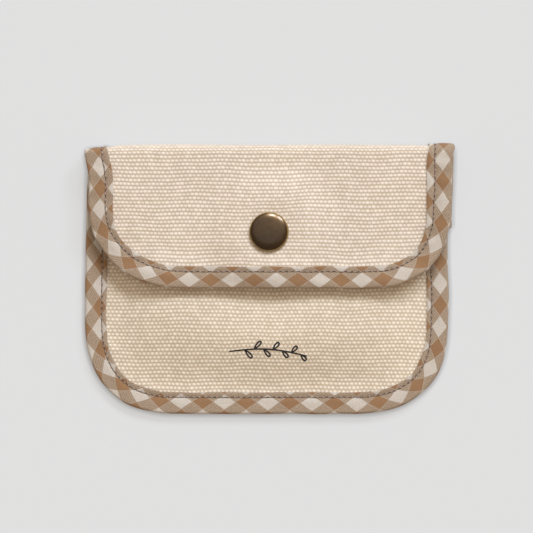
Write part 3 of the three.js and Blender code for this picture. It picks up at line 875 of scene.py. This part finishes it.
def rounded(profile, radius=0.12, steps=3):
    """The profile with its corners turned into short arcs."""
    profile = [np.array(p, float) for p in profile]
    made = [profile[0]]
    for before, corner, after in zip(profile, profile[1:], profile[2:]):
        back, ahead = before - corner, after - corner
        reach = min(radius, np.linalg.norm(back) / 2.5, np.linalg.norm(ahead) / 2.5)
        start = corner + back / np.linalg.norm(back) * reach
        end = corner + ahead / np.linalg.norm(ahead) * reach
        for t in np.linspace(0, 1, steps + 1):
            made.append((1 - t) ** 2 * start + 2 * t * (1 - t) * corner + t**2 * end)
    made.append(profile[-1])
    return np.array(made)


def turned_size(node):
    """The base, the height and the radius of a CAD node that is turned."""
    low, high = box_mm(node)
    return low[2], high[2] - low[2], (high[0] - low[0]) / 2


def snap_cap():
    """The cap: a shallow dark dome whose edge rolls over into a brass flank."""
    base, high, r = turned_size("snap_cap")
    profile = rounded([
        (0, high), (0.3 * r, high - 0.06), (0.6 * r, high - 0.24), (0.75 * r, high - 0.42),
        (0.85 * r, high - 0.63), (0.93 * r, high - 0.87), (0.95 * r, high - 1.05),
        (0.962 * r, high - 1.25), (r, high - 1.5), (0.985 * r, 0.2), (0.93 * r, 0), (0.78 * r, 0),
        (0.78 * r, 0.25), (0.88 * r, 0.4), (0.86 * r, 0.9), (0.7 * r, high - 0.75), (0, high - 0.6),
    ], 0.35, 6)
    # The dark tarnish is rubbed off the flank.
    wear = 0.02 + 0.85 * smoothstep(profile[:, 0] / r, 0.93, 0.95)
    return lathe("snap_cap_brass", profile, base, BRASS, wear, 96, CAP_LEAN)


def snap_socket():
    base, tall, r = turned_size("snap_socket")
    hole = 1.75
    profile = rounded([
        (hole, tall), (r, tall), (r, tall - 0.3), (0.88 * r, tall - 0.45), (0.88 * r, 0.6),
        (0.83 * r, 0.15), (0.73 * r, 0), (0.55 * r, 0), (0.55 * r, 0.25), (0.73 * r, 0.32),
        (0.73 * r, tall - 0.4), (hole, tall - 0.4), (hole, tall),
    ])
    wear = 0.25 + 0.4 * (profile[:, 1] < 0.4)
    return lathe("snap_socket_brass", profile, base, BRASS_INSIDE, wear)


def snap_stud():
    base, tall, r = turned_size("snap_stud")
    hole = 1.7
    profile = rounded([
        (0, tall), (0.42 * r, tall), (0.52 * r, tall - 0.15), (0.53 * r, tall - 0.45),
        (0.395 * r, tall - 0.75), (0.395 * r, 0.4), (0.5 * r, 0.3), (r, 0.3), (r, 0), (hole, 0),
        (hole, 1.15), (0, 1.15),
    ])
    wear = 0.3 + 0.6 * np.exp(-(((profile[:, 1] - tall + 0.3) / 0.3) ** 2))
    return lathe("snap_stud_brass", profile, base, BRASS_INSIDE, wear)


def snap_stud_post():
    base, tall, r = turned_size("snap_stud_post")
    profile = rounded([
        (0, 0), (0.9 * r, 0), (r, 0.15), (r, 0.4), (1.5, 0.4), (1.5, tall), (0.95, tall),
        (0.95, 0.65), (0, 0.65),
    ], 0.1)
    return lathe("snap_stud_post_brass", profile, base, BRASS_INSIDE, wear=0.4)


def snap_cap_post():
    base, tall, r = turned_size("snap_cap_post")
    profile = rounded([
        (0, tall), (r, tall), (r, tall - 0.4), (1.5, tall - 0.4), (1.5, 0.25), (2.3, 0.15),
        (2.3, 0), (1, 0), (1, tall - 0.75), (0, tall - 0.75),
    ], 0.08, 2)
    return lathe("snap_cap_post_brass", profile, base, BRASS_INSIDE, wear=0.3, segments=48)


def snap_spring():
    """The clip in the socket: two straight limbs of wire joined by a flattened bend."""
    radius = (SPRING_HIGH[2] - SPRING_LOW[2]) / 2
    limb = (SPRING_HIGH[0] - SPRING_LOW[0]) / 2 - radius
    z = (SPRING_LOW[2] + SPRING_HIGH[2]) / 2
    end = SPRING_LOW[1] - SNAP_Y
    bend = SPRING_HIGH[1] - SNAP_Y - radius
    angle = np.linspace(0, math.pi, 25)
    bend_start = 2.2
    straight = np.linspace(end, bend_start - 0.1, 10)
    still = 0 * straight
    x = np.concatenate([limb + still, limb * np.cos(angle), still - limb])
    curved = bend_start + (bend - bend_start) * np.sin(angle)
    y = np.concatenate([straight, curved, straight[::-1]])
    centre = np.stack([SNAP_X + x, SNAP_Y + y, np.full(x.shape, z)], axis=-1)
    tangent = unit(np.gradient(centre, axis=0))
    up = np.broadcast_to([0.0, 0.0, 1.0], centre.shape)
    sides = 12
    points = tube_points(centre, np.cross(tangent, up), up, radius, sides).reshape(-1, 3)
    wear = np.zeros((len(points), 2)) + [0, 0.5]
    made = new_object("snap_spring_wire", points, tube_faces(len(x), sides, 0), wear, WIRE)
    turn_out(made)
    return made


# ---------------- camera, light and floor
# The photo's width on the table, the camera's height above the pouch and the y that it looks at.
PHOTO_WIDTH = 171.8
CAMERA_HEIGHT = 1100.0
CAMERA_Y = 4.1
SENSOR = 36.0
DAYLIGHT, WARM_ROOM = (0.9, 1.0, 1.13), (1.25, 1, 0.7, 1)
# The floor glows where it is open, and within this distance of the pouch its glow is dimmed into a
# painted contact shadow.
FLOOR_DROP, FLOOR_GLOW, FLOOR_SHADE_REACH = 0.35, 0.55, 2.0
FLOOR_HALF_SIZE = 3000.0


def camera_and_light():
    scene = bpy.context.scene
    data = bpy.data.cameras.new("camera")
    data.sensor_width = SENSOR
    data.lens = SENSOR * CAMERA_HEIGHT / PHOTO_WIDTH
    data.clip_start, data.clip_end = 0.01, 20
    camera = bpy.data.objects.new("camera", data)
    camera.location = (0, CAMERA_Y * MM, (CAMERA_HEIGHT + SEAM_THICKNESS) * MM)
    scene.collection.objects.link(camera)
    scene.camera = camera

    world = bpy.data.worlds.new("studio")
    scene.world = world
    world.use_nodes = True
    background = world.node_tree.nodes["Background"]
    background.inputs["Color"].default_value = WARM_ROOM
    background.inputs["Strength"].default_value = 0.32

    # Two windows beyond the fold, to its right, and a broad ceiling light. Angles are in degrees.
    for name, energy, spread, tilt, turn in (
        ("window", 1.4, 16, -46, -12), ("side_window", 1.0, 16, -48, -40), ("ceiling", 0.52, 75, -20, 0),
    ):
        data = bpy.data.lights.new(name, "SUN")
        data.energy = energy
        data.color = DAYLIGHT
        data.angle = math.radians(spread)
        light = bpy.data.objects.new(name, data)
        light.rotation_euler = (math.radians(tilt), 0, math.radians(turn))
        scene.collection.objects.link(light)
    scene.view_settings.view_transform = "Standard"


def floor():
    """A plain pale floor that glows a little, its glow dimmed near the pouch as a painted contact
    shadow, so that only what nearly touches it leaves a shadow.
    """
    m = Shader("floor_paper")
    place = m.node("ShaderNodeTexCoord").outputs["Object"]
    grain = m.noise(place, 600.0, 3.0)
    reach = {"Distance": FLOOR_SHADE_REACH * MM}
    # Painted shadow: ambient occlusion darkens the floor's glow close to the pouch.
    ao_painted_shadow = m.node("ShaderNodeAmbientOcclusion", reach, samples=16).outputs["AO"]
    glow = m.times(m.times(ao_painted_shadow, m.remap(grain, 0.3, 0.7, 0.998, 1.002)), FLOOR_GLOW)
    m.put(m.surface.inputs["Emission Color"], m.tint((1, 1, 1, 1), glow))
    roughness = m.remap(grain, 0, 1, 0.93, 0.97)
    material = m.finish((0.2, 0.2, 0.2, 1), roughness, Emission_Strength=1.0)
    m.surface.inputs["Specular IOR Level"].default_value = 0.0
    mesh = bpy.data.meshes.new("floor")
    far = FLOOR_HALF_SIZE * MM
    corners = [(-far, -far, 0), (far, -far, 0), (far, far, 0), (-far, far, 0)]
    mesh.from_pydata(corners, [], [(0, 1, 2, 3)])
    mesh.materials.append(material)
    made = bpy.data.objects.new("floor", mesh)
    made.location = (0, 0, -FLOOR_DROP * MM)
    bpy.context.scene.collection.objects.link(made)


def bend_lower(piece):
    """Cloth that crosses the lower crease: its transform is baked into its mesh."""
    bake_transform(piece)


def bend_upper(piece):
    """Cloth that crosses the upper crease: its transform is baked into its mesh."""
    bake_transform(piece)


def ride_pouch(piece):
    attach(piece, "pouch")


def build_cloth():
    """The panels: the nodes that each replaces, how it moves, its slot, how it is held and by what."""
    for (piece, uv), nodes, move, slot, held, rests_on in (
        (shell_panel("back_canvas", BODY, CANVAS_DEPTH, CANVAS, FLAP_CANVAS_MATERIAL),
         ["back_panel", "spine_panel"], bend_lower, "canvas", "folded", "body_tape"),
        (shell_panel("back_lining_cloth", BODY, LINING_DEPTH, LINING, LINING_MATERIAL),
         ["back_lining", "spine_lining"], bend_lower, "lining", "folded", "back_canvas"),
        (shell_panel("flap_canvas", FLAP, CANVAS_DEPTH, CANVAS, FLAP_CANVAS_MATERIAL),
         ["flap_panel"], bend_upper, "canvas", "folded", "snap_cap_post_brass"),
        (shell_panel("flap_lining_cloth", FLAP, LINING_DEPTH, LINING, LINING_MATERIAL),
         ["flap_lining"], bend_upper, "lining", "folded", "flap_canvas"),
        (front_canvas(), ["front_panel"], ride_pouch, "canvas", "stretched", "body_tape"),
        (front_lining(), ["front_lining"], ride_pouch, "lining", "stretched", "front_canvas"),
    ):
        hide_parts(*nodes)
        move(piece)


def build_bindings():
    back_tape = Tape(BODY, side_width=-0.15, seed=21)
    body, body_laid = back_tape.mesh(
        "body_tape", BODY_CHECK_START, BODY_CHECK_PITCH,
        row=lambda run: 3.8 - 0.013 * run,
        slack=lambda run: np.exp(-(((run - 34) / 20) ** 2)),
    )
    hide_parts("body_binding", "spine_binding_left", "spine_binding_right")
    bend_lower(body)
    stitches = seam_stitches("body_stitches", back_tape)
    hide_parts("body_thread")
    bend_lower(stitches)

    front_tape = Tape(FLAP, side_width=0.8, seed=41)
    flap, flap_laid = front_tape.mesh(
        "flap_tape", FLAP_CHECK_START, FLAP_CHECK_PITCH,
        row=lambda run: 2.75 + 0.8 * (run / 80) ** 2 - 0.6 * run * np.abs(run) / 6400,
        slack=lambda run: 1.2 * np.exp(-(((run - 22) / 30) ** 2)) + 0.85 * smoothstep(run, 42, 60),
    )
    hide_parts("flap_binding")
    bend_upper(flap)
    flap_stitches = seam_stitches("flap_stitches", front_tape)
    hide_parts("flap_thread")
    bend_upper(flap_stitches)

    mouth = mouth_stitches()
    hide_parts("mouth_thread")
    ride_pouch(mouth)
    mark = sprig()
    ride_pouch(mark)


def build_snap():
    parts = [
        (snap_cap(), "snap_cap", "flap", "antique_brass"),
        (snap_cap_post(), "snap_cap_post", "flap", "antique_brass"),
        (snap_socket(), "snap_socket", "flap", "antique_brass"),
        (snap_spring(), "snap_spring", "flap", "spring_wire"),
        (snap_stud(), "snap_stud", "pouch", "antique_brass"),
        (snap_stud_post(), "snap_stud_post", "pouch", "antique_brass"),
    ]
    for piece, node, body, slot in parts:
        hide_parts(node)
        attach(piece, body)


camera_and_light()
floor()
build_bindings()
build_snap()
build_cloth()
